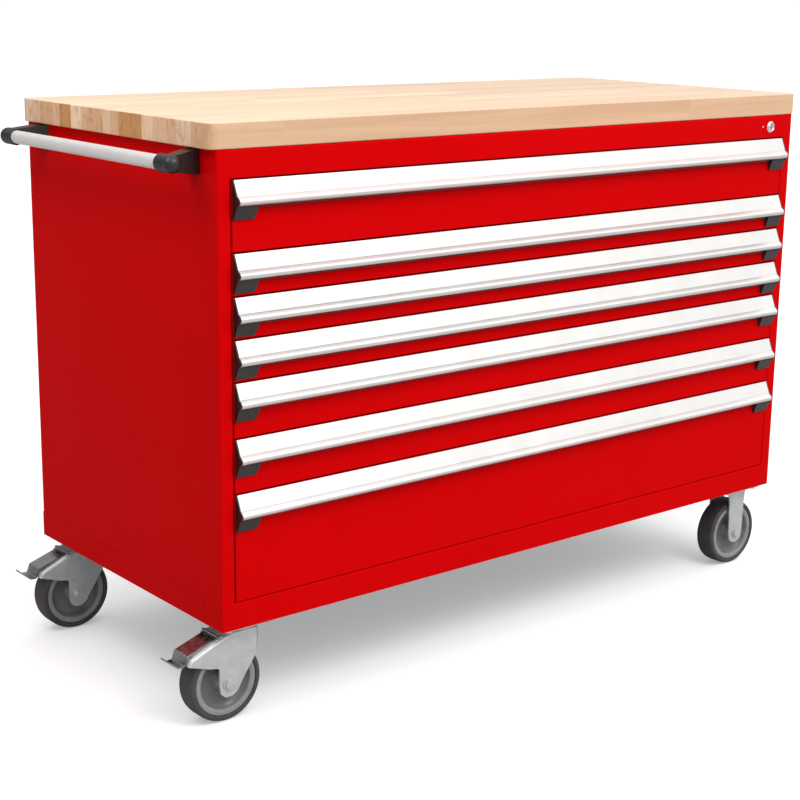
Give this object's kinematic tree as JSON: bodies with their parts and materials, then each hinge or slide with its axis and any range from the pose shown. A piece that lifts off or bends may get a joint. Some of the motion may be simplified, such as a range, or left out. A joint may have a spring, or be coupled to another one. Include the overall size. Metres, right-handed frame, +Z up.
{
  "type": "mobile workbench with drawers",
  "caption": "Mobile steel workbench with full-width drawers, a laminated maple top, a push handle and braked casters.",
  "frame": {"origin": "on the floor, under the middle of the whole object", "axes": "+X along the bench from the push handle to the other end, +Y from the drawer fronts to the back, +Z up"},
  "size_m": [1.6264, 0.7072, 1.0989],
  "materials": {
    "red_paint": "satin red powder coat",
    "maple": "oiled laminated maple",
    "aluminium": "satin anodised",
    "charcoal_plastic": "fine texture",
    "zinc": "bright zinc plate",
    "grey_plastic": "moulded",
    "tyre": "matt rubber",
    "slide_steel": "zinc-plated cold-rolled steel",
    "chrome": "polished"
  },
  "bodies": {
    "housing": {"left_side_panel": "red_paint", "right_side_panel": "red_paint", "back_panel": "red_paint", "base_frame": "red_paint", "header_rail": "red_paint", "worktop": "maple", "left_slide_rack": "slide_steel", "right_slide_rack": "slide_steel", "push_handle_tube": "aluminium", "push_handle_front_bracket": "charcoal_plastic", "push_handle_rear_bracket": "charcoal_plastic", "front_swivel_plate": "zinc", "rear_swivel_plate": "zinc", "front_rigid_fork": "zinc", "front_rigid_axle": "zinc", "rear_rigid_fork": "zinc", "rear_rigid_axle": "zinc"},
    "lock": {"lock_cylinder": "chrome"},
    "drawer_1": {"drawer_1_tray": "red_paint", "drawer_1_pull": "aluminium"},
    "drawer_2": {"drawer_2_tray": "red_paint", "drawer_2_pull": "aluminium"},
    "drawer_3": {"drawer_3_tray": "red_paint", "drawer_3_pull": "aluminium"},
    "drawer_4": {"drawer_4_tray": "red_paint", "drawer_4_pull": "aluminium"},
    "drawer_5": {"drawer_5_tray": "red_paint", "drawer_5_pull": "aluminium"},
    "drawer_6": {"drawer_6_tray": "red_paint", "drawer_6_pull": "aluminium"},
    "drawer_7": {"drawer_7_tray": "red_paint", "drawer_7_pull": "aluminium"},
    "drawer_1_slides": {"drawer_1_left_slide": "slide_steel", "drawer_1_right_slide": "slide_steel"},
    "drawer_2_slides": {"drawer_2_left_slide": "slide_steel", "drawer_2_right_slide": "slide_steel"},
    "drawer_3_slides": {"drawer_3_left_slide": "slide_steel", "drawer_3_right_slide": "slide_steel"},
    "drawer_4_slides": {"drawer_4_left_slide": "slide_steel", "drawer_4_right_slide": "slide_steel"},
    "drawer_5_slides": {"drawer_5_left_slide": "slide_steel", "drawer_5_right_slide": "slide_steel"},
    "drawer_6_slides": {"drawer_6_left_slide": "slide_steel", "drawer_6_right_slide": "slide_steel"},
    "drawer_7_slides": {"drawer_7_left_slide": "slide_steel", "drawer_7_right_slide": "slide_steel"},
    "front_swivel": {"front_swivel_fork": "zinc", "front_swivel_axle": "zinc"},
    "front_swivel_wheel": {"front_swivel_wheel_core": "grey_plastic", "front_swivel_tyre": "tyre"},
    "front_brake": {"front_brake_pedal": "zinc"},
    "front_rigid_wheel": {"front_rigid_wheel_core": "grey_plastic", "front_rigid_tyre": "tyre"},
    "rear_swivel": {"rear_swivel_fork": "zinc", "rear_swivel_axle": "zinc"},
    "rear_swivel_wheel": {"rear_swivel_wheel_core": "grey_plastic", "rear_swivel_tyre": "tyre"},
    "rear_brake": {"rear_brake_pedal": "zinc"},
    "rear_rigid_wheel": {"rear_rigid_wheel_core": "grey_plastic", "rear_rigid_tyre": "tyre"}
  },
  "joints": [
    {"name": "drawer_1_opens", "type": "slide", "parent": "housing", "child": "drawer_1", "axis": [0, -1, 0], "range_m": [0, 0.6096]},
    {"name": "drawer_2_opens", "type": "slide", "parent": "housing", "child": "drawer_2", "axis": [0, -1, 0], "range_m": [0, 0.6096]},
    {"name": "drawer_3_opens", "type": "slide", "parent": "housing", "child": "drawer_3", "axis": [0, -1, 0], "range_m": [0, 0.6096]},
    {"name": "drawer_4_opens", "type": "slide", "parent": "housing", "child": "drawer_4", "axis": [0, -1, 0], "range_m": [0, 0.6096]},
    {"name": "drawer_5_opens", "type": "slide", "parent": "housing", "child": "drawer_5", "axis": [0, -1, 0], "range_m": [0, 0.6096]},
    {"name": "drawer_6_opens", "type": "slide", "parent": "housing", "child": "drawer_6", "axis": [0, -1, 0], "range_m": [0, 0.6096]},
    {"name": "drawer_7_opens", "type": "slide", "parent": "housing", "child": "drawer_7", "axis": [0, -1, 0], "range_m": [0, 0.6096]},
    {"name": "drawer_1_slides_follow", "type": "slide", "parent": "housing", "child": "drawer_1_slides", "axis": [0, -1, 0], "range_m": [0, 0.3048]},
    {"name": "drawer_2_slides_follow", "type": "slide", "parent": "housing", "child": "drawer_2_slides", "axis": [0, -1, 0], "range_m": [0, 0.3048]},
    {"name": "drawer_3_slides_follow", "type": "slide", "parent": "housing", "child": "drawer_3_slides", "axis": [0, -1, 0], "range_m": [0, 0.3048]},
    {"name": "drawer_4_slides_follow", "type": "slide", "parent": "housing", "child": "drawer_4_slides", "axis": [0, -1, 0], "range_m": [0, 0.3048]},
    {"name": "drawer_5_slides_follow", "type": "slide", "parent": "housing", "child": "drawer_5_slides", "axis": [0, -1, 0], "range_m": [0, 0.3048]},
    {"name": "drawer_6_slides_follow", "type": "slide", "parent": "housing", "child": "drawer_6_slides", "axis": [0, -1, 0], "range_m": [0, 0.3048]},
    {"name": "drawer_7_slides_follow", "type": "slide", "parent": "housing", "child": "drawer_7_slides", "axis": [0, -1, 0], "range_m": [0, 0.3048]},
    {"name": "lock_turns", "type": "hinge", "parent": "housing", "child": "lock", "pos_m": [0.72652, -0.33218, 1.0287], "axis": [0, 1, 0], "range_deg": [0, 90]},
    {"name": "front_caster_swivels", "type": "hinge", "parent": "housing", "child": "front_swivel", "pos_m": [-0.65548, -0.27518, 0.1755], "axis": [0, 0, 1], "continuous": true},
    {"name": "front_swivel_wheel_rolls", "type": "hinge", "parent": "front_swivel", "child": "front_swivel_wheel", "pos_m": [-0.69448, -0.27518, 0.0762], "axis": [0, 1, 0], "continuous": true},
    {"name": "front_brake_lifts", "type": "hinge", "parent": "front_swivel", "child": "front_brake", "pos_m": [-0.71148, -0.27518, 0.169], "axis": [0, 1, 0], "range_deg": [0, 9]},
    {"name": "front_rigid_wheel_rolls", "type": "hinge", "parent": "housing", "child": "front_rigid_wheel", "pos_m": [0.72432, -0.27518, 0.0762], "axis": [0, 1, 0], "continuous": true},
    {"name": "rear_caster_swivels", "type": "hinge", "parent": "housing", "child": "rear_swivel", "pos_m": [-0.65548, 0.29662, 0.1755], "axis": [0, 0, 1], "continuous": true},
    {"name": "rear_swivel_wheel_rolls", "type": "hinge", "parent": "rear_swivel", "child": "rear_swivel_wheel", "pos_m": [-0.69448, 0.29662, 0.0762], "axis": [0, 1, 0], "continuous": true},
    {"name": "rear_brake_lifts", "type": "hinge", "parent": "rear_swivel", "child": "rear_brake", "pos_m": [-0.71148, 0.29662, 0.169], "axis": [0, 1, 0], "range_deg": [0, 9]},
    {"name": "rear_rigid_wheel_rolls", "type": "hinge", "parent": "housing", "child": "rear_rigid_wheel", "pos_m": [0.72432, 0.29662, 0.0762], "axis": [0, 1, 0], "continuous": true}
  ],
  "couplings": [
    {"joint": "drawer_1_slides_follow", "follows": "drawer_1_opens", "ratio": 0.5},
    {"joint": "drawer_2_slides_follow", "follows": "drawer_2_opens", "ratio": 0.5},
    {"joint": "drawer_3_slides_follow", "follows": "drawer_3_opens", "ratio": 0.5},
    {"joint": "drawer_4_slides_follow", "follows": "drawer_4_opens", "ratio": 0.5},
    {"joint": "drawer_5_slides_follow", "follows": "drawer_5_opens", "ratio": 0.5},
    {"joint": "drawer_6_slides_follow", "follows": "drawer_6_opens", "ratio": 0.5},
    {"joint": "drawer_7_slides_follow", "follows": "drawer_7_opens", "ratio": 0.5}
  ]
}
